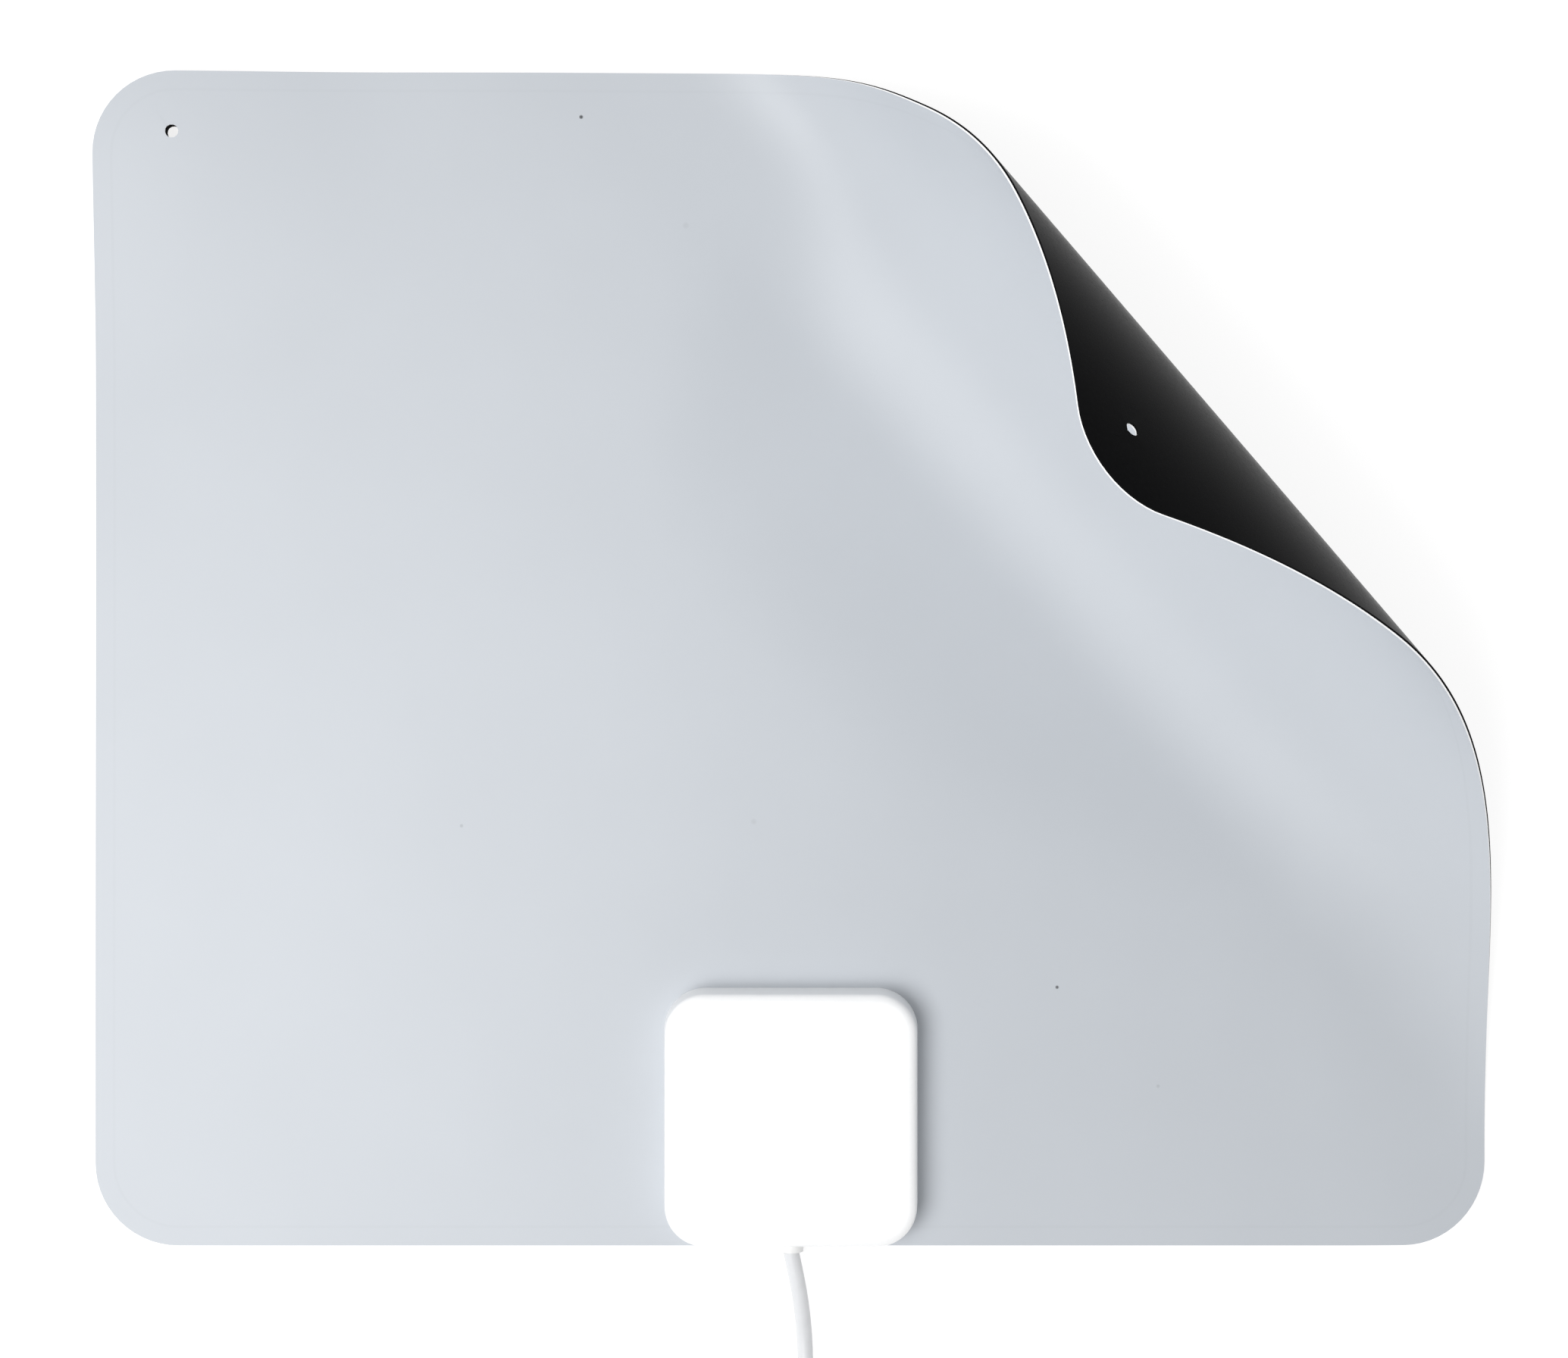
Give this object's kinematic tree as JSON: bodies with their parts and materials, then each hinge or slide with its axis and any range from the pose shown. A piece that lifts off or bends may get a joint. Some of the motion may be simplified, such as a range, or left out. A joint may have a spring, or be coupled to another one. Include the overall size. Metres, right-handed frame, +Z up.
{
  "type": "flat indoor tv antenna",
  "caption": "Flat laminated film antenna, white over black, lying with one corner rolled back, with a small square amplifier housing at its lower edge and a thin coax lead to a threaded plug.",
  "frame": {"origin": "middle of the sheet, on the surface that the rear cover lies on; the lead, its coil and plug are left out of the measure", "axes": "+X to the right along the sheet's long side, +Y to the edge away from the housing, +Z up out of the white face"},
  "size_m": [0.3361, 0.3801, 0.1206],
  "materials": {
    "white_film": "satin printed film",
    "black_film": "satin",
    "foil": "rolled",
    "white_cover": "fine satin",
    "black_cover": "satin",
    "screw_steel": "black oxide",
    "board": "solder resist",
    "ferrite": "matt",
    "copper": "bright",
    "spring_brass": "bright",
    "white_grommet": "matt",
    "white_jacket": "satin",
    "dielectric": "natural",
    "tinned_braid": "tinned",
    "tie_plastic": "satin",
    "white_boot": "satin",
    "nickel": "nickel plate"
  },
  "bodies": {
    "antenna": {"front_film": "white_film", "back_film": "black_film", "left_antenna_foil": "foil", "right_antenna_foil": "foil", "front_cover": "white_cover", "rear_cover": "black_cover", "cover_screws": "screw_steel", "circuit_board": "board", "balun_core": "ferrite", "balun_windings": "copper", "left_contact": "spring_brass", "right_contact": "spring_brass", "cable_grommet": "white_grommet", "coax_end": "white_jacket", "coax_dielectric": "dielectric", "coax_conductor": "copper", "braid_tail": "tinned_braid", "coax_cable": "white_jacket", "plug_lead": "white_jacket", "cable_coil": "white_jacket", "coil_tie": "tie_plastic", "plug_boot": "white_boot", "plug_body": "nickel", "plug_insulator": "dielectric", "plug_pin": "copper"},
    "coupling_nut": {"coupling_nut": "nickel"}
  },
  "joints": [
    {"name": "nut_spin", "type": "hinge", "parent": "antenna", "child": "coupling_nut", "pos_m": [0.1101, -0.232, 0.0064], "axis": [1, 0, 0], "continuous": true}
  ]
}
